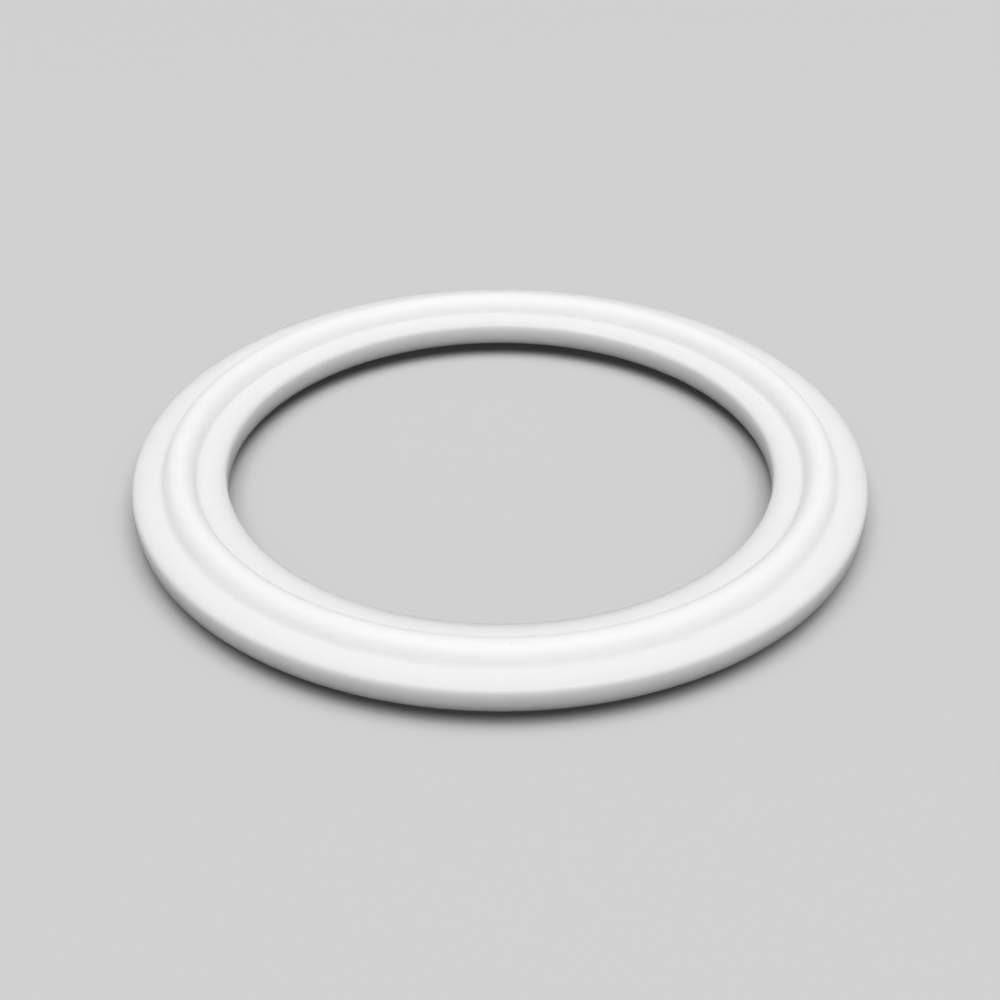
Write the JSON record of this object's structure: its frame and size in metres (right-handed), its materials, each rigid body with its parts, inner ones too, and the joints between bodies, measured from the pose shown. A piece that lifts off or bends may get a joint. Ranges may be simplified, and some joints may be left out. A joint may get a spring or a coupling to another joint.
{
  "type": "sanitary clamp gasket",
  "caption": "White plastic ring gasket for a clamped sanitary tube joint, with a flat web and a half-round sealing bead on each face.",
  "frame": {"origin": "middle of the ring, on its axis and halfway through the web", "axes": "+Z along the axis of the bore; the ring is the same both ways up and lies on its lower bead"},
  "size_m": [0.064, 0.064, 0.005],
  "materials": {
    "ptfe": "white fluoropolymer, waxy and slightly translucent, with a fine turned satin surface"
  },
  "bodies": {
    "root": {"gasket": "ptfe"}
  },
  "joints": []
}
